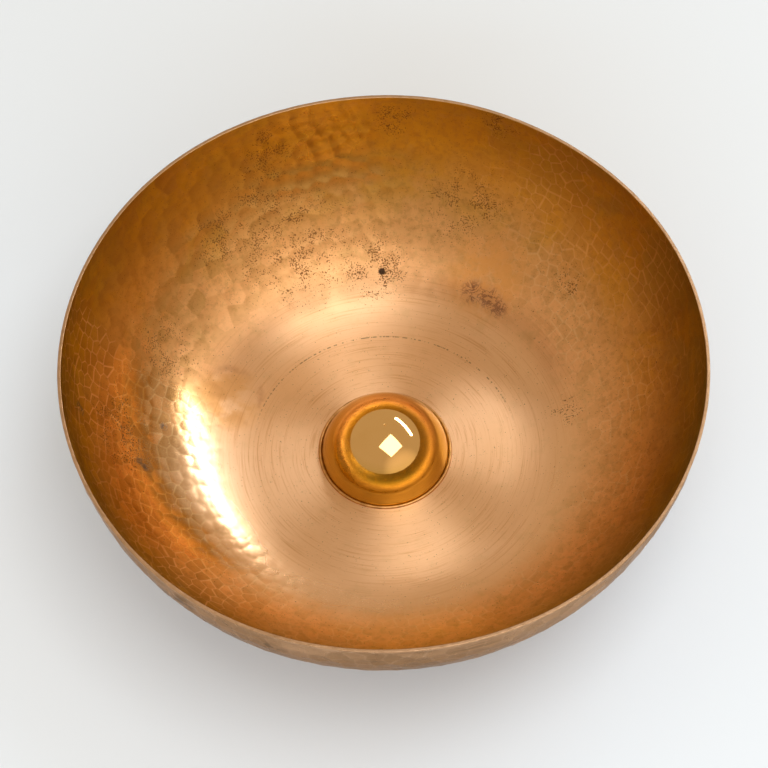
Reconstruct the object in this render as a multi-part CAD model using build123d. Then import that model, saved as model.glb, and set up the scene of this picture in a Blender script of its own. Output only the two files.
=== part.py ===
from build123d import *
import os
from math import asin, degrees, radians, sqrt, tan

# Hammered copper bowl with a turned flat floor and a polished boss in its middle.
# Millimetres, +Z up. The origin is the centre of the circle that the foot ring stands on.

# ---------------------------------------------------------------- driving dimensions

# Bowl shell, raised from one sheet of copper
RIM_RADIUS = 150.0          # outside of the shell at the rim
BOWL_DEPTH = 90.0           # floor to rim, inside
SHEET = 1.5                 # thickness of the copper
FLOOR_RADIUS = 62.0         # where the flat turned floor ends and the wall begins
WALL_SEMI_HEIGHT = 93.0     # the wall is an arc of an ellipse that is tangent to the floor

# Foot ring, a strip of copper bent round and soldered under the floor
FOOT_RADIUS = 55.0          # outside
FOOT_THICKNESS = 2.0
FOOT_HEIGHT = 7.0
FOOT_EDGE_RADIUS = 0.6      # rounding of its two lower edges

# Boss, a hollow spun cap that is a little less than half a ball
BOSS_RADIUS = 32.0          # outside of the ball
BOSS_SINK = 7.0             # the ball's centre lies this far below the floor
BOSS_WALL = 1.2

# Bezel, a half-round wire that closes the seam between the boss and the floor
BEZEL_WIDTH = 1.6
BEZEL_HEIGHT = 0.9

# Stud that is brazed inside the boss and pulls it down on the floor
STUD_RADIUS = 2.5           # M5
STUD_HEAD_RADIUS = 7.0
STUD_HEAD_HEIGHT = 5.0
STUD_TIP = 0.8              # length left below the nut
STUD_CHAMFER = 0.5

# Washers and thin nut under the floor
HOLE_CLEARANCE = 0.15       # round the stud, in the floor and in the washers
THREAD_CLEARANCE = 0.03
SEAL_RADIUS = 11.0
SEAL_THICKNESS = 0.8
WASHER_RADIUS = 9.0
WASHER_THICKNESS = 1.0
NUT_ACROSS_FLATS = 8.0
NUT_HEIGHT = 2.7
NUT_CHAMFER_ANGLE = 30.0    # degrees

# ---------------------------------------------------------------- worked-out levels

floor_under = FOOT_HEIGHT
floor_top = floor_under + SHEET
rim_top = floor_top + BOWL_DEPTH
wall_centre_height = floor_top + WALL_SEMI_HEIGHT
rim_drop = wall_centre_height - rim_top
wall_semi_width = (RIM_RADIUS - SHEET - FLOOR_RADIUS) / sqrt(1 - (rim_drop / WALL_SEMI_HEIGHT) ** 2)

boss_centre_height = floor_top - BOSS_SINK
boss_base_radius = sqrt(BOSS_RADIUS ** 2 - BOSS_SINK ** 2)
boss_apex = boss_centre_height + BOSS_RADIUS

seal_bottom = floor_under - SEAL_THICKNESS
washer_bottom = seal_bottom - WASHER_THICKNESS
nut_bottom = washer_bottom - NUT_HEIGHT
stud_bottom = nut_bottom - STUD_TIP
hole_radius = STUD_RADIUS + HOLE_CLEARANCE


# ---------------------------------------------------------------- helpers

def turned(*edges):
    """Spin a closed outline, drawn with radius across and height up, about the bowl's axis."""
    outline = make_face(Curve() + list(edges))
    return revolve(Plane.XZ * outline, Axis.Z, 360)


def wall_arc(offset):
    """One face of the wall, from the floor to the rim, at this distance outside the inner face."""
    semi_width = wall_semi_width + offset
    semi_height = WALL_SEMI_HEIGHT + offset
    rim_angle = -degrees(asin(rim_drop / semi_height))
    return EllipticalCenterArc(
        (FLOOR_RADIUS, wall_centre_height), semi_width, semi_height, -90, arc_size=rim_angle + 90
    )


def flat_ring(inner_radius, outer_radius, bottom, top):
    """A plain ring or washer."""
    corners = [(inner_radius, bottom), (outer_radius, bottom), (outer_radius, top), (inner_radius, top)]
    return turned(Polyline(*corners, close=True))


# ---------------------------------------------------------------- pieces

def bowl_shell():
    """Flat floor and curved wall in one sheet, with the stud's hole in the middle."""
    inner = wall_arc(0)
    outer = wall_arc(SHEET)
    floor_face = Line((hole_radius, floor_top), inner @ 0)
    rim_edge = Line(inner @ 1, outer @ 1)
    underside = Line(outer @ 0, (hole_radius, floor_under))
    hole_wall = Line((hole_radius, floor_under), (hole_radius, floor_top))
    return turned(floor_face, inner, rim_edge, outer, underside, hole_wall)


def foot_ring():
    """Upright ring whose lower edges are rounded."""
    ring = flat_ring(FOOT_RADIUS - FOOT_THICKNESS, FOOT_RADIUS, 0, FOOT_HEIGHT)
    lower_edges = ring.edges().group_by(Axis.Z)[0]
    return fillet(lower_edges, FOOT_EDGE_RADIUS)


def ball_cap(radius):
    """The part of a ball about the boss's centre that stands above the floor."""
    ball = Pos(0, 0, boss_centre_height) * Sphere(radius)
    above_floor = Pos(0, 0, floor_top) * Cylinder(
        BOSS_RADIUS, BOSS_RADIUS, align=(Align.CENTER, Align.CENTER, Align.MIN)
    )
    return ball & above_floor


def boss_dome():
    """Hollow cap that stands open side down on the floor."""
    return ball_cap(BOSS_RADIUS) - ball_cap(BOSS_RADIUS - BOSS_WALL)


def boss_bezel():
    """Ring of half-round section that lies on the floor against the foot of the boss."""
    inner_end = (boss_base_radius, floor_top)
    outer_end = (boss_base_radius + BEZEL_WIDTH, floor_top)
    crown = (boss_base_radius + BEZEL_WIDTH / 2, floor_top + BEZEL_HEIGHT)
    return turned(Line(outer_end, inner_end), ThreePointArc(inner_end, crown, outer_end))


def boss_stud():
    """Threaded rod with a head that fits the inside of the boss."""
    length = boss_apex - stud_bottom
    rod = Pos(0, 0, stud_bottom) * Cylinder(
        STUD_RADIUS, length, align=(Align.CENTER, Align.CENTER, Align.MIN)
    )
    tip_edge = rod.edges().group_by(Axis.Z)[0]
    rod = chamfer(tip_edge, STUD_CHAMFER)
    head_bottom = boss_apex - BOSS_WALL - STUD_HEAD_HEIGHT
    head = Pos(0, 0, head_bottom) * Cylinder(
        STUD_HEAD_RADIUS, 2 * STUD_HEAD_HEIGHT, align=(Align.CENTER, Align.CENTER, Align.MIN)
    )
    inside_of_boss = Pos(0, 0, boss_centre_height) * Sphere(BOSS_RADIUS - BOSS_WALL)
    return (rod + head) & inside_of_boss


def stud_nut():
    """Thin hexagon nut, with its corners chamfered on both faces."""
    corner_radius = NUT_ACROSS_FLATS / sqrt(3)
    hexagon = RegularPolygon(NUT_ACROSS_FLATS / 2, 6, major_radius=False)
    prism = Pos(0, 0, nut_bottom) * extrude(hexagon, NUT_HEIGHT)
    chamfer_width = corner_radius - NUT_ACROSS_FLATS / 2
    chamfer_height = chamfer_width * tan(radians(NUT_CHAMFER_ANGLE))
    bore = STUD_RADIUS + THREAD_CLEARANCE
    profile = Polyline(
        (bore, nut_bottom),
        (NUT_ACROSS_FLATS / 2, nut_bottom),
        (corner_radius, nut_bottom + chamfer_height),
        (corner_radius, washer_bottom - chamfer_height),
        (NUT_ACROSS_FLATS / 2, washer_bottom),
        (bore, washer_bottom),
        close=True,
    )
    return prism & turned(profile)


PIECES = {
    "bowl_shell": bowl_shell(),
    "foot_ring": foot_ring(),
    "boss_dome": boss_dome(),
    "boss_bezel": boss_bezel(),
    "boss_stud": boss_stud(),
    "sealing_washer": flat_ring(hole_radius, SEAL_RADIUS, seal_bottom, floor_under),
    "flat_washer": flat_ring(hole_radius, WASHER_RADIUS, washer_bottom, seal_bottom),
    "stud_nut": stud_nut(),
}

os.makedirs("parts", exist_ok=True)
for name, piece in PIECES.items():
    export_step(piece, f"parts/{name}.step")
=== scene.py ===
import math

import bpy
import numpy as np
from mathutils import Matrix, Vector


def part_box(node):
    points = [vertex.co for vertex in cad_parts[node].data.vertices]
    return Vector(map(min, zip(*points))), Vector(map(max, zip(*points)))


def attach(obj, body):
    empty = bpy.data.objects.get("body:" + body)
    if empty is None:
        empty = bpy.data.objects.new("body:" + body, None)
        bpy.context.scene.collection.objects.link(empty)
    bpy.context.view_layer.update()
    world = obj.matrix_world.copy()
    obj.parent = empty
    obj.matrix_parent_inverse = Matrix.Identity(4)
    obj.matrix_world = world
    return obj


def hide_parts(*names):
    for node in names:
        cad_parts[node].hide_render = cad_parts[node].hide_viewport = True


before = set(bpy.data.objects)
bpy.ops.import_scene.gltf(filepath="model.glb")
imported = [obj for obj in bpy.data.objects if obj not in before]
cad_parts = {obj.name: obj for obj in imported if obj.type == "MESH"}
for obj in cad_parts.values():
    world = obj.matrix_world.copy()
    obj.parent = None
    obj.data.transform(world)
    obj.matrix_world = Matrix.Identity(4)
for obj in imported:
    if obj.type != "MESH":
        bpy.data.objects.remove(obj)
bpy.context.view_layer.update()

# ---------------------------------------------------------------- sizes, in metres

SHELL_LOW, SHELL_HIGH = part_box("bowl_shell")
DOME_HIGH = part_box("boss_dome")[1]
BEZEL_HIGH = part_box("boss_bezel")[1]

SHEET = 0.0015              # thickness of the copper
FLOOR_RADIUS = 0.062        # where the flat floor ends and the wall begins
WALL_SEMI_HEIGHT = 0.093    # the wall is an arc of an ellipse that is tangent to the floor
HOLE_RADIUS = 0.00265       # the stud's hole in the floor
BOSS_SINK = 0.007           # the boss is part of a ball whose centre is this far below the floor
BOSS_WALL = 0.0012

RIM_RADIUS = SHELL_HIGH.x
RIM_TOP = SHELL_HIGH.z
FLOOR_UNDER = SHELL_LOW.z
FLOOR_TOP = FLOOR_UNDER + SHEET
WALL_CENTRE_HEIGHT = FLOOR_TOP + WALL_SEMI_HEIGHT
RIM_DROP = WALL_CENTRE_HEIGHT - RIM_TOP
WALL_SEMI_WIDTH = (RIM_RADIUS - SHEET - FLOOR_RADIUS) / math.sqrt(1 - (RIM_DROP / WALL_SEMI_HEIGHT) ** 2)
BOSS_RADIUS = DOME_HIGH.z - FLOOR_TOP + BOSS_SINK
BOSS_BASE_RADIUS = DOME_HIGH.x


# ---------------------------------------------------------------- camera, light and floor

def camera():
    """A long lens from the front, 59 degrees above the table, rolled by about a degree."""
    elevation = math.radians(59.2)
    distance = 7.5 * RIM_RADIUS
    roll = math.radians(-1.1)
    target = Vector((0, 0, RIM_TOP - 0.178 * RIM_RADIUS))
    data = bpy.data.cameras.new("camera")
    data.sensor_width = 36
    data.lens = 112.5
    data.clip_end = 50
    obj = bpy.data.objects.new("camera", data)
    place = target + distance * Vector((0, -math.cos(elevation), math.sin(elevation)))
    turn = Matrix.Rotation(math.pi / 2 - elevation, 4, "X") @ Matrix.Rotation(roll, 4, "Z")
    obj.matrix_world = Matrix.Translation(place) @ turn
    bpy.context.scene.collection.objects.link(obj)
    bpy.context.scene.camera = obj


def softbox(name, place, aim, width, height, watts, spin=0.0, mirrored=True, lit=True, tint=(1, 1, 1)):
    """A rectangular light that faces the point aim, turned about its own axis by spin degrees.

    mirrored lights show in polished metal, and lit ones light the table.
    """
    data = bpy.data.lights.new(name, "AREA")
    data.shape = "RECTANGLE"
    data.size = width
    data.size_y = height
    data.energy = watts
    data.color = tint
    obj = bpy.data.objects.new(name, data)
    facing = (Vector(aim) - Vector(place)).to_track_quat("-Z", "Y").to_matrix().to_4x4()
    obj.matrix_world = Matrix.Translation(place) @ facing @ Matrix.Rotation(math.radians(spin), 4, "Z")
    obj.visible_glossy = mirrored
    obj.visible_diffuse = lit
    bpy.context.scene.collection.objects.link(obj)


def room():
    """A warm surround, brighter towards the front right, that lights the bowl and shows in its polish."""
    bright_side = (0.51, -0.68, 0.52)
    shade, glow = (0.56, 0.445, 0.31, 1), (0.92, 0.74, 0.53, 1)
    world = bpy.data.worlds.new("room")
    world.use_nodes = True
    tree = world.node_tree
    direction = tree.nodes.new("ShaderNodeTexCoord")
    facing = tree.nodes.new("ShaderNodeVectorMath")
    facing.operation = "DOT_PRODUCT"
    facing.inputs[1].default_value = bright_side
    fade = tree.nodes.new("ShaderNodeMapRange")
    fade.interpolation_type = "SMOOTHSTEP"
    for socket, number in zip(fade.inputs[1:5], (0.78, 0.97, 0.0, 1.0)):
        socket.default_value = number
    colour = tree.nodes.new("ShaderNodeMix")
    colour.data_type = "RGBA"
    colour.inputs[6].default_value = shade
    colour.inputs[7].default_value = glow
    tree.links.new(direction.outputs["Generated"], facing.inputs[0])
    tree.links.new(facing.outputs["Value"], fade.inputs[0])
    tree.links.new(fade.outputs[0], colour.inputs[0])
    tree.links.new(colour.outputs[2], tree.nodes["Background"].inputs["Color"])
    bpy.context.scene.world = world


def studio():
    """The room, two softboxes that show in the copper, and cool fill lights that keep the table neutral."""
    bpy.context.scene.view_settings.view_transform = "Standard"
    room()
    daylight = (0.94, 0.97, 1.0)
    cool = (0.50, 0.755, 1.0)
    middle = (0, 0, 0)
    softbox("strip", (0.86, 0.84, 1.23), (0, 0, 0.05), 1.15, 0.15, 6.2, lit=False, tint=daylight)
    softbox("panel", (0.31, -0.30, 1.66), (0.31, -0.30, 0), 0.9, 0.9, 7.7, spin=-42, tint=daylight)
    softbox("side_fill", (1.5, 1.3, 1.9), middle, 1.8, 1.4, 13.5, mirrored=False, tint=cool)
    softbox("top_fill", (0, 0, 2.3), middle, 5.0, 5.0, 22, mirrored=False, tint=cool)
    softbox("front_fill", (-0.3, -3.0, 1.2), middle, 5.0, 2.4, 92, mirrored=False, tint=cool)


def table():
    """Matt white surface that the bowl stands on."""
    half = 6.0
    mesh = bpy.data.meshes.new("table")
    corners = [(-half, -half, 0), (half, -half, 0), (half, half, 0), (-half, half, 0)]
    mesh.from_pydata(corners, [], [(0, 1, 2, 3)])
    obj = bpy.data.objects.new("table", mesh)
    bpy.context.scene.collection.objects.link(obj)
    mat = bpy.data.materials.new("white_table")
    mat.use_nodes = True
    shader = mat.node_tree.nodes["Principled BSDF"]
    shader.inputs["Base Color"].default_value = (0.85, 0.865, 0.88, 1)
    shader.inputs["Roughness"].default_value = 0.55
    mesh.materials.append(mat)


# ---------------------------------------------------------------- turned meshes

def wave_noise(angles, seed, waves=7):
    """A smooth closed curve round the bowl, between about -1 and 1, from a few random waves."""
    rng = np.random.default_rng(seed)
    total = np.zeros_like(angles)
    for count in range(2, 2 + waves):
        total += rng.normal() / count * np.cos(count * angles + rng.uniform(0, 2 * np.pi))
    return total / np.abs(total).max()


def grid_mesh(name, points, closed_profile=False):
    """A mesh from points[row, column], with columns going round the axis."""
    rows, columns = points.shape[:2]
    last = rows if closed_profile else rows - 1
    row = np.arange(last)[:, None]
    column = np.arange(columns)[None, :]
    next_row = (row + 1) % rows
    next_column = (column + 1) % columns
    quads = np.stack([
        np.broadcast_to(row * columns + column, (last, columns)),
        np.broadcast_to(row * columns + next_column, (last, columns)),
        np.broadcast_to(next_row * columns + next_column, (last, columns)),
        np.broadcast_to(next_row * columns + column, (last, columns)),
    ], axis=-1).reshape(-1, 4)
    mesh = bpy.data.meshes.new(name)
    mesh.vertices.add(rows * columns)
    mesh.vertices.foreach_set("co", points.reshape(-1).astype(np.float32))
    mesh.loops.add(quads.size)
    mesh.loops.foreach_set("vertex_index", quads.reshape(-1).astype(np.int32))
    mesh.polygons.add(len(quads))
    mesh.polygons.foreach_set("loop_start", np.arange(0, quads.size, 4, dtype=np.int32))
    mesh.polygons.foreach_set("use_smooth", np.ones(len(quads), bool))
    mesh.update(calc_edges=True)
    mesh.validate()
    obj = bpy.data.objects.new(name, mesh)
    bpy.context.scene.collection.objects.link(obj)
    return obj


# ---------------------------------------------------------------- hammered shell

COLUMNS = 1440              # vertices round the bowl
INNER_ROWS = 250            # rows of vertices up the inside of the wall
OUTER_ROWS = 110            # and up the outside
RELIEF_LIFT = 0.00002       # added to the inner relief, to keep its hollows above the CAD's face

# Hammer marks lie in rows. All of these are shares of the marks' pitch, or of their depth for MARK_SINK.
ROW_SPACING = 0.87
MARK_JITTER = 0.25
MARK_REACH = 1.7
MARK_SINK = 0.14
MARK_TILT = 0.24            # a slope, as a share of depth over pitch


def hammer_marks(length, radius, angles, pitch, depth, seed):
    """Overlapping round hammer dimples: their height, each point's distance to a ridge, and a tone.

    length is each row's distance along the wall and radius its distance from the axis. Every dimple has
    the same hollow, its own sink, tilt and tone, and meets its neighbours in sharp ridges.
    """
    rng = np.random.default_rng(seed)
    curve = depth / (0.5 * pitch) ** 2
    lowest = np.full((len(length), len(angles)), 1.0)
    second = np.full((len(length), len(angles)), 1.0)
    tone = np.zeros((len(length), len(angles)))
    bands = int(np.ceil(length.max() / (ROW_SPACING * pitch))) + 2
    for band in range(-1, bands):
        middle = (band + 0.5) * ROW_SPACING * pitch
        count = max(8, int(round(2 * np.pi * np.interp(middle, length, radius) / pitch)))
        step = 2 * np.pi / count
        shift_angle = (rng.uniform(-MARK_JITTER, MARK_JITTER, count) + rng.uniform()) * step
        shift_length = rng.uniform(-MARK_JITTER, MARK_JITTER, count) * pitch
        sink = rng.uniform(-MARK_SINK, MARK_SINK, count) * depth
        tilt_across = rng.normal(0, MARK_TILT, count) * depth / pitch
        tilt_along = rng.normal(0, MARK_TILT, count) * depth / pitch
        shade = rng.uniform(0, 1, count)
        near = np.flatnonzero(np.abs(length - middle) < MARK_REACH * pitch)
        if not len(near):
            continue
        cell = np.floor(angles / step).astype(int)
        for neighbour in (-2, -1, 0, 1, 2):
            index = (cell + neighbour) % count
            centre = (cell + neighbour + 0.5) * step + shift_angle[index]
            across = (angles - centre)[None, :] * radius[near, None]
            along = length[near, None] - middle - shift_length[index][None, :]
            height = curve * (across ** 2 + along ** 2) + sink[index]
            height = height + tilt_across[index] * across + tilt_along[index] * along
            second[near] = np.minimum(second[near], np.maximum(height, lowest[near]))
            tone[near] = np.where(height < lowest[near], shade[index][None, :], tone[near])
            lowest[near] = np.minimum(lowest[near], height)
    return lowest, (second - lowest) / (2 * curve * pitch), tone


def softened(marks):
    """The same relief with its ridges rubbed down."""
    marks = 0.25 * np.roll(marks, 1, axis=1) + 0.5 * marks + 0.25 * np.roll(marks, -1, axis=1)
    marks[1:-1] = 0.25 * marks[:-2] + 0.5 * marks[1:-1] + 0.25 * marks[2:]
    return marks


def wall_rows(offset, count):
    """Radius, height and outward normal of rows up one face of the wall, and their distance along it."""
    semi_width = WALL_SEMI_WIDTH + offset
    semi_height = WALL_SEMI_HEIGHT + offset
    rim_angle = -math.asin(RIM_DROP / semi_height)
    turn = np.linspace(-math.pi / 2, rim_angle, count)
    radius = FLOOR_RADIUS + semi_width * np.cos(turn)
    height = WALL_CENTRE_HEIGHT + semi_height * np.sin(turn)
    normal = np.stack([semi_height * np.cos(turn), semi_width * np.sin(turn)], axis=1)
    normal /= np.linalg.norm(normal, axis=1)[:, None]
    steps = np.hypot(np.diff(radius), np.diff(height))
    return radius, height, normal, np.concatenate([[0], np.cumsum(steps)])


def smooth_step(value, low, high):
    """0 below low, 1 above high, and a smooth rise between them."""
    t = np.clip((value - low) / (high - low), 0, 1)
    return t * t * (3 - 2 * t)


def face_points(radius, height, normal, push, angles):
    """Points of one face of the wall, each pushed along its row's outward normal."""
    across = radius[:, None] + push * normal[:, :1]
    up = height[:, None] + push * normal[:, 1:]
    return np.stack([across * np.cos(angles), across * np.sin(angles), up], axis=-1)


def flat_rows(radii, height, angles):
    """Points of a flat ring of the floor."""
    radii = np.asarray(radii)[:, None] * np.ones(len(angles))
    return np.stack([radii * np.cos(angles), radii * np.sin(angles), np.full_like(radii, height)], axis=-1)


def towards(angles, degrees, width):
    """1 on the side of the bowl that lies at this angle, falling to 0 at width degrees to either side."""
    away = np.abs((angles - math.radians(degrees) + np.pi) % (2 * np.pi) - np.pi)
    return 1 - smooth_step(away, math.radians(0.35 * width), math.radians(width))


def inner_face(angles):
    """Points of the inner wall, and each one's distance to a ridge and tone.

    The marks are broad and soft at the back, and fine elsewhere, where they are deepest at the left.
    """
    radius, height, normal, length = wall_rows(0, INNER_ROWS)
    fine, fine_ridge, fine_tone = hammer_marks(
        length, radius, angles, pitch=0.0066, depth=0.000060, seed=11)
    coarse, _, coarse_tone = hammer_marks(
        length, radius, angles, pitch=0.0094, depth=0.000130, seed=12)
    back = towards(angles, 116, 50)
    left = towards(angles, 190, 75)
    front = towards(angles, 265, 70)
    strength = 0.36 + 0.36 * left + 0.12 * front
    knocked = towards(angles, 99, 26) * smooth_step(length, 0.065, 0.090)[:, None]
    broad = back * (1 + 0.8 * knocked) + 0.42 * left * (1 - back)
    start = 0.010 + 0.026 * back
    up = smooth_step(length[:, None], start, start + 0.020)
    edge = (1 - 0.6 * smooth_step(length, length[-1] - 0.003, length[-1]))[:, None]
    lift = (fine * strength * (1 - back) + softened(coarse) * broad) * up * edge
    points = face_points(radius, height, normal, -np.maximum(lift + RELIEF_LIFT, 0), angles)
    blunt = 0.01                # far enough from a ridge that the broad marks show none
    return points, fine_ridge + blunt * back, fine_tone * (1 - back) + coarse_tone * back


def outer_face(angles):
    """Points of the outer wall, and each one's distance to a ridge and tone. The marks only sink."""
    radius, height, normal, length = wall_rows(SHEET, OUTER_ROWS)
    depth = 0.00020
    marks, ridge, tone = hammer_marks(length, radius, angles, pitch=0.0088, depth=depth, seed=21)
    above_floor = smooth_step(length, 0.001, 0.020)[:, None]
    below_rim = (1 - 0.8 * smooth_step(length, length[-1] - 0.004, length[-1]))[:, None]
    sunk = (marks - 2 * depth) * (above_floor * below_rim)
    return face_points(radius, height, normal, np.minimum(sunk, 0), angles), ridge, tone


def bend_rim(points, angles):
    """Makes the rim neither quite round nor quite level. It only ever falls short of the CAD shape."""
    level = (points[..., 2] - FLOOR_TOP) / (RIM_TOP - FLOOR_TOP)
    bend = np.clip(level, 0, 1) ** 2
    squeeze = 1 - bend * 0.0022 * (1 + wave_noise(angles, 31))
    points[..., 0] *= squeeze
    points[..., 1] *= squeeze
    points[..., 2] -= bend * 0.0003 * (1 + wave_noise(angles, 32, waves=12))


def bowl_shell():
    """The whole sheet of copper: floor, hammered inside and outside of the wall, and the cut rim."""
    angles = np.arange(COLUMNS) * 2 * np.pi / COLUMNS
    inner, inner_ridge, inner_tone = inner_face(angles)
    outer, outer_ridge, outer_tone = outer_face(angles)
    rim = np.stack([inner[-1] * (1 - share) + outer[-1] * share for share in (0.2, 0.5, 0.8)])
    floor_radii = np.concatenate([[HOLE_RADIUS, 0.016], np.linspace(0.030, FLOOR_RADIUS, 22)[:-1]])
    under_radii = [0.060, 0.055, 0.045, 0.030, 0.015, HOLE_RADIUS]
    points = np.concatenate([
        flat_rows(floor_radii, FLOOR_TOP, angles),
        inner,
        rim,
        outer[::-1],
        flat_rows(under_radii, FLOOR_UNDER, angles),
    ])
    bend_rim(points, angles)
    obj = grid_mesh("hammered_shell", points, closed_profile=True)

    first_inner = len(floor_radii)
    first_rim = first_inner + INNER_ROWS
    first_outer = first_rim + len(rim)
    for material in (inside_copper(), outside_copper(), rim_copper()):
        obj.data.materials.append(material)
    row_of = np.repeat(np.arange(len(points)), COLUMNS)
    slots = np.zeros(len(row_of), np.int32)
    slots[row_of >= first_rim - 1] = 2
    slots[row_of >= first_outer] = 1
    obj.data.polygons.foreach_set("material_index", slots)
    for attribute, inside, outside in (
        ("ridge", inner_ridge, outer_ridge),
        ("tone", inner_tone, outer_tone),
    ):
        whole = np.full(points.shape[:2], 0.5, np.float32)
        whole[first_inner:first_rim] = inside
        whole[first_outer:first_outer + OUTER_ROWS] = outside[::-1]
        obj.data.attributes.new(attribute, "FLOAT", "POINT").data.foreach_set("value", whole.reshape(-1))
    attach(obj, "root")
    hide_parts("bowl_shell")
    return obj


# ---------------------------------------------------------------- boss and bezel

def boss_dome():
    """Hollow polished cap, with the wall it has at its open side."""
    angles = np.arange(256) * 2 * np.pi / 256
    centre = FLOOR_TOP - BOSS_SINK
    rows = []
    for radius, order in ((BOSS_RADIUS, 1), (BOSS_RADIUS - BOSS_WALL, -1)):
        foot = math.asin(BOSS_SINK / radius)
        turn = np.linspace(foot, math.radians(89.6), 96)[::order]
        rows.append(np.stack([radius * np.cos(turn), centre + radius * np.sin(turn)], axis=1))
    profile = np.concatenate(rows)
    across = profile[:, :1]
    points = np.stack([across * np.cos(angles), across * np.sin(angles),
                       profile[:, 1:] * np.ones(len(angles))], axis=-1)
    obj = grid_mesh("polished_boss", points, closed_profile=True)
    obj.data.materials.append(polished_copper())
    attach(obj, "root")
    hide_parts("boss_dome")
    return obj


def boss_bezel():
    """Half-round wire at the foot of the boss."""
    angles = np.arange(360) * 2 * np.pi / 360
    middle = (BOSS_BASE_RADIUS + BEZEL_HIGH.x) / 2
    half_width = (BEZEL_HIGH.x - BOSS_BASE_RADIUS) / 2
    tall = BEZEL_HIGH.z - FLOOR_TOP
    turn = np.linspace(0, math.pi, 16)
    across = (middle + half_width * np.cos(turn))[:, None] * np.ones(len(angles))
    up = FLOOR_TOP + (tall * np.sin(turn))[:, None] * (1 + 0.06 * (wave_noise(angles, 41, 16) - 1))
    points = np.stack([across * np.cos(angles), across * np.sin(angles), up], axis=-1)
    obj = grid_mesh("bezel_wire", points, closed_profile=True)
    copper = plain_metal("bezel_copper", (0.72, 0.40, 0.16, 1), (0.50, 0.27, 0.10, 1), 0.30)
    obj.data.materials.append(copper)
    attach(obj, "root")
    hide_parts("boss_bezel")
    return obj


# ---------------------------------------------------------------- materials

class Nodes:
    """Short calls for building one material's nodes."""

    def __init__(self, name):
        self.material = bpy.data.materials.new(name)
        self.material.use_nodes = True
        self.tree = self.material.node_tree
        self.shader = self.tree.nodes["Principled BSDF"]

    def node(self, kind, **settings):
        made = self.tree.nodes.new(kind)
        for key, value in settings.items():
            setattr(made, key, value)
        return made

    def put(self, socket, value):
        if isinstance(value, bpy.types.NodeSocket):
            self.tree.links.new(value, socket)
        elif value is not None:
            socket.default_value = value

    def place(self):
        return self.node("ShaderNodeTexCoord").outputs["Object"]

    def math(self, operation, a, b=None):
        made = self.node("ShaderNodeMath", operation=operation)
        self.put(made.inputs[0], a)
        self.put(made.inputs[1], b)
        return made.outputs[0]

    def times(self, a, b):
        return self.math("MULTIPLY", a, b)

    def plus(self, a, b):
        return self.math("ADD", a, b)

    def gap(self, a, b):
        """How far apart two values are."""
        return self.math("ABSOLUTE", self.math("SUBTRACT", a, b))

    def noise(self, vector, scale, detail=3.0, roughness=0.55, distortion=0.0, kind="3D"):
        made = self.node("ShaderNodeTexNoise", noise_dimensions=kind)
        self.put(made.inputs["W" if kind == "1D" else "Vector"], vector)
        self.put(made.inputs["Scale"], scale)
        self.put(made.inputs["Detail"], detail)
        self.put(made.inputs["Roughness"], roughness)
        self.put(made.inputs["Distortion"], distortion)
        return made.outputs[0]

    def fade(self, value, low, high, bottom=0.0, top=1.0):
        made = self.node("ShaderNodeMapRange", interpolation_type="SMOOTHSTEP")
        for socket, number in zip(made.inputs, (value, low, high, bottom, top)):
            self.put(socket, number)
        return made.outputs[0]

    def mix(self, factor, a, b):
        made = self.node("ShaderNodeMix", data_type="RGBA")
        self.put(made.inputs[0], factor)
        self.put(made.inputs[6], a)
        self.put(made.inputs[7], b)
        return made.outputs[2]

    def tinted(self, colour, mask, strength, tint):
        """The colour moved towards a tint, by this strength where the mask is 1."""
        return self.mix(self.times(mask, strength), colour, tint)

    def attribute(self, name):
        """A number that the mesh stores at each point."""
        return self.node("ShaderNodeAttribute", attribute_name=name).outputs["Fac"]

    def split(self, vector):
        made = self.node("ShaderNodeSeparateXYZ")
        self.put(made.inputs[0], vector)
        return made.outputs

    def radius(self, place):
        """Distance from the bowl's axis."""
        x, y, _ = self.split(place)
        return self.math("SQRT", self.plus(self.times(x, x), self.times(y, y)))

    def spot(self, place, centre, size, core=0.0):
        """1 within core of a place on the object, falling to 0 at size from it."""
        away = self.node("ShaderNodeVectorMath", operation="DISTANCE")
        self.put(away.inputs[0], place)
        self.put(away.inputs[1], centre)
        return self.fade(away.outputs["Value"], core, size, 1.0, 0.0)

    def most(self, values):
        """The largest of several values."""
        total = values[0]
        for value in values[1:]:
            total = self.math("MAXIMUM", total, value)
        return total

    def turning(self, place, radius, across, round_count):
        """Coordinates in which noise becomes long streaks that run round the axis."""
        x, y, _ = self.split(place)
        joined = self.node("ShaderNodeCombineXYZ")
        self.put(joined.inputs[0], self.times(radius, across))
        self.put(joined.inputs[1], self.times(self.math("DIVIDE", x, radius), round_count))
        self.put(joined.inputs[2], self.times(self.math("DIVIDE", y, radius), round_count))
        return joined.outputs[0]

    def bump(self, height, strength, distance):
        made = self.node("ShaderNodeBump")
        self.put(made.inputs["Height"], height)
        made.inputs["Strength"].default_value = strength
        made.inputs["Distance"].default_value = distance
        return made.outputs[0]


def metal(n, colour, roughness, normal=None):
    """Sets the shader up as bare metal."""
    n.shader.inputs["Metallic"].default_value = 1.0
    n.put(n.shader.inputs["Base Color"], colour)
    n.put(n.shader.inputs["Roughness"], roughness)
    n.put(n.shader.inputs["Normal"], normal)
    return n.material


def on_wall(degrees, level):
    """A point of the inner wall: the angle round the axis from +X, and the height from floor to rim."""
    height = FLOOR_TOP + level * (RIM_TOP - FLOOR_TOP)
    drop = (WALL_CENTRE_HEIGHT - height) / WALL_SEMI_HEIGHT
    radius = FLOOR_RADIUS + WALL_SEMI_WIDTH * math.sqrt(1 - drop ** 2)
    turn = math.radians(degrees)
    return (radius * math.cos(turn), radius * math.sin(turn), height)


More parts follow.
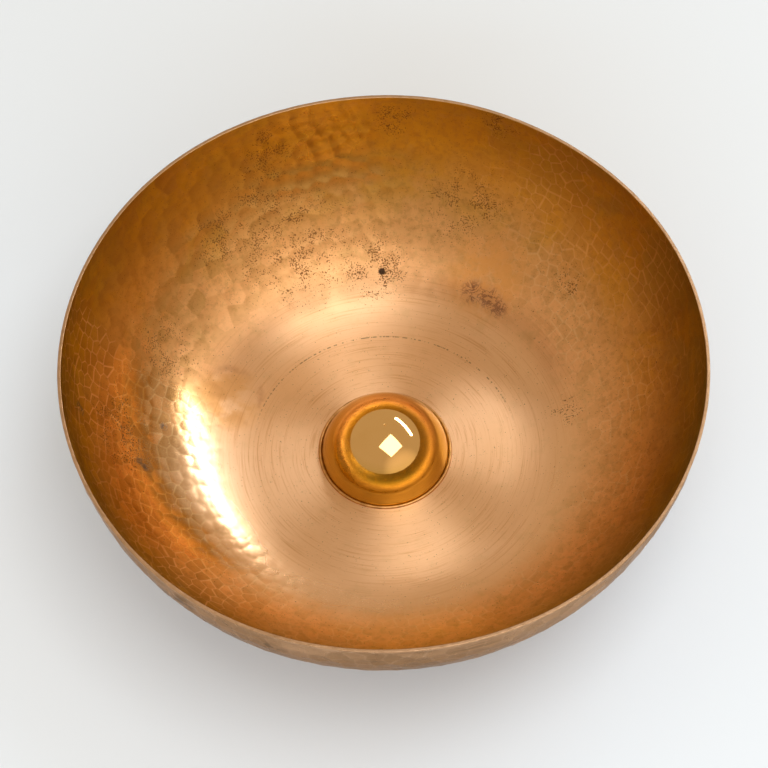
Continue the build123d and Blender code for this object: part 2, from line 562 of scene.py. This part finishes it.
def oxide_and_darker_sides(n, place, radius, x, y, height):
    """Colour of the sheet: clean on the floor, an amber film up the wall, and the wall tinted darker towards
    the right and towards the front.
    """
    clean, duller = (0.95, 0.60, 0.355, 1), (0.92, 0.565, 0.315, 1)
    colour = n.mix(n.fade(n.noise(place, 16, detail=4), 0.35, 0.65), clean, duller)
    colour = n.mix(n.fade(radius, 0.076, 0.112), colour, (0.90, 0.485, 0.215, 1))
    high = n.fade(height, 0.020, 0.082)
    colour = n.mix(high, colour, (0.53, 0.345, 0.05, 1))
    # The wall is tinted darker towards the right and towards the front, by place on the bowl.
    right = n.times(n.fade(x, 0.02, 0.125), high)
    colour = n.tinted(colour, right, 0.6, (0.38, 0.28, 0.09, 1))
    front = n.times(n.fade(y, -0.05, -0.12), n.fade(height, 0.014, 0.060))
    colour = n.tinted(colour, front, 0.9, (0.35, 0.27, 0.07, 1))
    amber = n.fade(n.noise(place, 30, detail=5, roughness=0.6, distortion=0.4), 0.47, 0.62)
    amber = n.times(amber, n.times(n.fade(height, 0.024, 0.055), 0.5))
    colour = n.mix(amber, colour, (0.66, 0.39, 0.035, 1))
    mottle = n.fade(n.noise(place, 110, detail=4, roughness=0.65), 0.50, 0.72)
    mottle = n.times(mottle, n.fade(radius, 0.070, 0.11, 0.10, 0.32))
    return n.mix(mottle, colour, (0.50, 0.33, 0.12, 1))


def patches(n, colour, place, x):
    """A ragged warm patch with a ring round it, and a paler patch painted where the strip light's highlight
    falls to whiten it, both low at the left.

    Also the warm patch's mask.
    """
    warm_place = on_wall(159, 0.03)
    ragged = n.fade(n.noise(place, 75, detail=4), 0.36, 0.56, 0.15, 0.70)
    warm = n.times(n.spot(place, warm_place, 0.023, 0.009), ragged)
    colour = n.mix(warm, colour, (0.80, 0.41, 0.13, 1))
    ring = n.fade(n.gap(n.spot(place, warm_place, 0.023), 0.22), 0.0, 0.16, 1.0, 0.0)
    ring = n.times(ring, n.fade(n.noise(place, 90, detail=3), 0.42, 0.60))
    ring = n.times(ring, n.fade(x, -0.090, -0.076))
    colour = n.tinted(colour, ring, 0.45, (0.55, 0.25, 0.12, 1))
    # Paler base colour on the spot of the left highlight: a painted highlight tint.
    highlight_paling = n.spot(place, on_wall(190, 0.06), 0.034, 0.014)
    return n.tinted(colour, highlight_paling, 0.7, (0.94, 0.63, 0.40, 1)), warm


def turning_lines(n, colour, place, radius, x, y):
    """Fine dark lines round the floor. Also the lines themselves, and where the copper is turned.

    The turned area reaches further up the wall at the back and the right.
    """
    lines = n.noise(n.turning(place, radius, 1300, 2.2), 1.0, detail=4, roughness=0.65)
    reach = n.plus(n.fade(y, -0.01, 0.05, 0.0, 0.019), n.fade(x, 0.0, 0.05, 0.0, 0.005))
    reach = n.plus(reach, n.fade(n.noise(place, 120, detail=3), 0.3, 0.7, -0.001, 0.0015))
    turned = n.fade(n.math("SUBTRACT", radius, reach), 0.068, 0.092, 1.0, 0.05)
    line_mask = n.times(n.fade(lines, 0.50, 0.72), n.times(turned, 0.50))
    return n.mix(line_mask, colour, (0.62, 0.27, 0.09, 1)), lines, turned


def facet_tone_and_ridge_highlight(n, colour, place, radius, x):
    """Each hammer mark in its own darker tone, partly random colour and partly painted facet shade, and
    bright ridges between them, partly wear and partly painted highlight, both strongest at the left where the
    strip light falls.
    """
    # Darker tone per hammer mark: partly random colour, partly painted shade of the facets, doubled at the
    # left.
    tone = n.times(n.attribute("tone"), n.fade(radius, 0.086, 0.108, 0.0, 0.26))
    tone = n.times(tone, n.fade(x, -0.04, -0.10, 1.0, 2.3))
    colour = n.mix(tone, colour, (0.42, 0.23, 0.06, 1))
    # Bright ridge lines between the marks: partly wear, partly painted highlight.
    ridge = n.fade(n.attribute("ridge"), 0.00008, 0.00050, 1.0, 0.0)
    on_ridge = n.times(ridge, n.fade(radius, 0.080, 0.100))
    # Strength of the ridge lines: random wear, plus painted highlight towards the left.
    worn = n.fade(n.noise(place, 40, detail=3), 0.38, 0.66, 0.05, 0.32)
    worn = n.plus(worn, n.fade(x, -0.05, -0.09, 0.0, 0.34))
    return n.tinted(colour, on_ridge, worn, (0.98, 0.70, 0.40, 1))


def pitting(n, colour, place, radius):
    """Dark specks in clusters on the wall, and stray ones elsewhere. Also their mask."""
    clusters = [                # place on the wall, and size in metres
        ((113, 0.24), 0.044), ((116, 0.55), 0.022), ((112, 0.76), 0.020), ((87, 0.83), 0.017),
        ((66, 0.92), 0.016), ((157, 0.24), 0.024), ((92, 0.11), 0.026), ((11, 0.06), 0.012),
        ((40, 0.30), 0.012), ((70, 0.40), 0.030), ((182, 0.35), 0.030), ((128, 0.40), 0.024),
    ]
    clustered = n.most([n.spot(place, on_wall(*spot), size, 0.25 * size) for spot, size in clusters])
    clustered = n.times(clustered, n.fade(n.noise(place, 130, detail=3), 0.36, 0.60))
    level = n.plus(n.noise(place, 1350, detail=1, roughness=0.5), n.times(clustered, 0.20))
    level = n.plus(level, n.times(n.fade(radius, 0.080, 0.105), 0.012))
    pits = n.fade(level, 0.71, 0.775)
    return n.tinted(colour, pits, 0.72, (0.22, 0.105, 0.035, 1)), pits


def stains(n, colour, place):
    """An orange and a veined brown stain at the back right, grey marks at the left, a black spot at the back.

    Also a mask of the dark ones.
    """
    cloud = n.fade(n.noise(place, 150, detail=5, roughness=0.65), 0.34, 0.56, 0.3, 0.8)
    orange = n.times(n.spot(place, on_wall(60, 0.15), 0.030, 0.008), cloud)
    colour = n.mix(orange, colour, (0.86, 0.42, 0.13, 1))
    veins = n.gap(n.noise(place, 210, detail=5, roughness=0.7, distortion=0.6), 0.5)
    smudge = n.most([
        n.spot(place, on_wall(62, 0.09), 0.0085, 0.002),
        n.spot(place, on_wall(57, 0.095), 0.0080, 0.002),
        n.spot(place, on_wall(53, 0.085), 0.0070, 0.002),
    ])
    veined = n.times(smudge, n.fade(veins, 0.012, 0.050, 1.0, 0.0))
    colour = n.tinted(colour, smudge, 0.26, (0.46, 0.25, 0.17, 1))
    colour = n.tinted(colour, veined, 0.60, (0.30, 0.14, 0.10, 1))
    halo = n.spot(place, on_wall(188, 0.24), 0.010, 0.001)
    colour = n.tinted(colour, halo, 0.30, (0.36, 0.29, 0.24, 1))
    grey_places = [(188, 0.255), (189.2, 0.235), (183, 0.68), (183.5, 0.65), (176, 0.16)]
    grey = n.most([n.spot(place, on_wall(*spot), 0.0034, 0.0004) for spot in grey_places])
    grey = n.times(grey, n.fade(n.noise(place, 420, detail=3), 0.38, 0.52))
    colour = n.tinted(colour, grey, 0.85, (0.13, 0.10, 0.09, 1))
    black = n.spot(place, on_wall(90, 0.10), 0.0022, 0.0012)
    colour = n.tinted(colour, black, 0.92, (0.07, 0.045, 0.035, 1))
    return colour, n.most([veined, grey, black])


def floor_scratch(n, colour, place, radius, y):
    """A dashed scratch that runs round the back of the floor. Also its mask."""
    dashes = n.fade(n.noise(n.turning(place, radius, 60, 38), 1.0, detail=2), 0.46, 0.56)
    scratch = n.times(n.fade(n.gap(radius, 0.0655), 0.00012, 0.00045, 1.0, 0.0), dashes)
    scratch = n.times(scratch, n.fade(y, 0.010, 0.035))
    return n.tinted(colour, scratch, 0.65, (0.20, 0.085, 0.03, 1)), scratch


def inside_roughness(n, place, radius, x, y, height, turned, warm, marred):
    """Smooth at the left and high at the back, rougher where the copper is turned, oxidised or marred."""
    rough = n.fade(n.noise(place, 45, detail=3), 0.3, 0.7, 0.16, 0.22)
    rough = n.plus(rough, n.times(turned, 0.17))
    bright = n.times(n.fade(x, -0.045, -0.075), n.fade(y, 0.050, 0.020))
    bright = n.times(bright, n.fade(y, -0.082, -0.055))
    bright = n.times(bright, n.fade(height, 0.030, 0.060, 1.0, 0.25))
    matt = n.times(n.fade(radius, 0.082, 0.100), n.math("SUBTRACT", 1.0, bright))
    rough = n.plus(rough, n.times(matt, 0.20))
    rough = n.plus(rough, n.times(warm, 0.20))
    knocked = n.spot(place, on_wall(101, 0.80), 0.046, 0.012)
    rough = n.math("SUBTRACT", rough, n.times(knocked, 0.14))
    return n.plus(rough, n.times(marred, 0.25))


def inside_copper():
    """Hammered and turned copper inside the bowl, lightly tarnished, with painted shade and highlight on its
    hammer marks.
    """
    n = Nodes("inside_copper")
    place = n.place()
    radius = n.radius(place)
    x, y, height = n.split(place)

    colour = oxide_and_darker_sides(n, place, radius, x, y, height)
    colour, warm = patches(n, colour, place, x)
    grain = n.times(n.fade(n.noise(place, 330, detail=4, roughness=0.7), 0.46, 0.66), 0.34)
    colour = n.mix(n.times(grain, n.fade(radius, 0.084, 0.12)), colour, (0.36, 0.20, 0.06, 1))
    colour, lines, turned = turning_lines(n, colour, place, radius, x, y)
    colour = facet_tone_and_ridge_highlight(n, colour, place, radius, x)
    colour, pits = pitting(n, colour, place, radius)
    colour, stained = stains(n, colour, place)
    colour, scratch = floor_scratch(n, colour, place, radius, y)
    marred = n.most([pits, stained, scratch])
    rough = inside_roughness(n, place, radius, x, y, height, turned, warm, marred)
    relief = n.math("SUBTRACT", n.times(lines, turned), n.times(pits, 0.8))
    normal = n.bump(relief, 0.12, 0.0001)

    n.put(n.shader.inputs["Anisotropic"], n.times(turned, 0.88))
    n.shader.inputs["Anisotropic Rotation"].default_value = 0.25
    n.shader.inputs["Specular Tint"].default_value = (0.42, 0.47, 0.15, 1)
    tangent = n.node("ShaderNodeTangent", direction_type="RADIAL", axis="Z")
    n.put(n.shader.inputs["Tangent"], tangent.outputs[0])
    return metal(n, colour, rough, normal)


def outside_copper():
    """Browned copper of the outer wall and underside, with freckles, blots and level scuffs near the rim."""
    n = Nodes("outside_copper")
    place = n.place()
    height = n.split(place)[2]
    brown, dark_brown = (0.63, 0.39, 0.235, 1), (0.47, 0.275, 0.155, 1)
    colour = n.mix(n.fade(n.noise(place, 22, detail=5), 0.35, 0.68), brown, dark_brown)
    # Each hammer mark in its own darker tone and lighter ridges between them: partly the marks' own colour,
    # partly painted facet shade and painted ridge highlight.
    tone = n.times(n.attribute("tone"), n.fade(height, 0.012, 0.030, 0.0, 0.42))
    colour = n.mix(tone, colour, (0.34, 0.20, 0.11, 1))
    ridge = n.fade(n.attribute("ridge"), 0.0001, 0.0006, 1.0, 0.0)
    on_ridge = n.times(ridge, n.fade(height, 0.012, 0.030, 0.0, 0.30))
    colour = n.mix(on_ridge, colour, (0.80, 0.54, 0.36, 1))

    clusters = n.fade(n.noise(place, 38, detail=3), 0.52, 0.70, 0.0, 0.10)
    freckles = n.fade(n.plus(n.noise(place, 1100, detail=1), clusters), 0.725, 0.80)
    level_streaks = n.node("ShaderNodeVectorMath", operation="MULTIPLY")
    n.put(level_streaks.inputs[0], place)
    n.put(level_streaks.inputs[1], (40, 40, 1500))
    scuffs = n.fade(n.noise(level_streaks.outputs["Vector"], 1.0, detail=1), 0.55, 0.66, 0.0, 0.7)
    scuffs = n.times(scuffs, n.spot(place, (0.022, -0.148, 0.080), 0.050, 0.020))
    blots = n.most([
        n.spot(place, (-0.052, -0.138, 0.082), 0.010, 0.002),
        n.spot(place, (-0.091, -0.117, 0.086), 0.012, 0.002),
        n.spot(place, (-0.097, -0.110, 0.080), 0.009, 0.001),
    ])
    blots = n.times(blots, n.fade(n.noise(place, 240, detail=4), 0.46, 0.56))
    dark = n.most([freckles, scuffs, blots])
    colour = n.tinted(colour, dark, 0.75, (0.14, 0.085, 0.055, 1))
    rough = n.fade(n.noise(place, 60, detail=3), 0.3, 0.7, 0.22, 0.34)
    n.shader.inputs["Specular Tint"].default_value = (0.60, 0.51, 0.43, 1)
    return metal(n, colour, rough)


def rim_copper():
    """Bare cut edge, brighter than the faces on either side."""
    n = Nodes("edge_copper")
    place = n.place()
    colour = n.mix(n.noise(place, 300, detail=3), (0.78, 0.51, 0.32, 1), (0.40, 0.24, 0.13, 1))
    normal = n.bump(n.noise(place, 1500, detail=2), 0.4, 0.0002)
    return metal(n, colour, 0.33, normal)


def polished_copper():
    """Mirror polish on the boss, with an amber flank that keeps fine turning lines."""
    n = Nodes("polished_copper")
    place = n.place()
    height = n.split(place)[2]
    lines = n.noise(height, 2600, detail=3, kind="1D")
    pale, deeper = (0.90, 0.56, 0.22, 1), (0.86, 0.52, 0.19, 1)
    colour = n.mix(n.fade(n.noise(place, 90), 0.4, 0.7, 0, 0.5), pale, deeper)
    colour = n.mix(n.fade(height, 0.0195, 0.0285, 0.85, 0.0), colour, (0.68, 0.46, 0.07, 1))
    flank = n.fade(height, 0.022, 0.028, 0.45, 0.0)
    colour = n.tinted(colour, flank, n.fade(lines, 0.42, 0.68), (0.62, 0.34, 0.07, 1))
    normal = n.bump(lines, 0.04, 0.00005)
    return metal(n, colour, 0.045, normal)


def plain_metal(name, colour, worn, roughness):
    """One metal with a little wear, for the bezel and the pieces under the floor."""
    n = Nodes(name)
    place = n.place()
    mottled = n.mix(n.fade(n.noise(place, 260, detail=4), 0.35, 0.7), colour, worn)
    normal = n.bump(n.noise(place, 900, detail=2), 0.15, 0.0002)
    return metal(n, mottled, roughness, normal)


def dress_cad_nodes():
    """Materials for the pieces that keep their CAD shape."""
    brass = plain_metal("fastener_brass", (0.78, 0.58, 0.27, 1), (0.55, 0.38, 0.18, 1), 0.32)
    copper = plain_metal("foot_copper", (0.62, 0.36, 0.21, 1), (0.44, 0.26, 0.16, 1), 0.38)
    rubber = Nodes("seal_rubber")
    rubber.shader.inputs["Base Color"].default_value = (0.018, 0.017, 0.016, 1)
    rubber.shader.inputs["Roughness"].default_value = 0.7
    dress = {
        "boss_stud": brass, "stud_nut": brass, "flat_washer": brass,
        "foot_ring": copper, "sealing_washer": rubber.material,
    }
    for name, material in dress.items():
        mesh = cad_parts[name].data
        mesh.materials.clear()
        mesh.materials.append(material)


camera()
studio()
table()
bowl_shell()
boss_dome()
boss_bezel()
dress_cad_nodes()
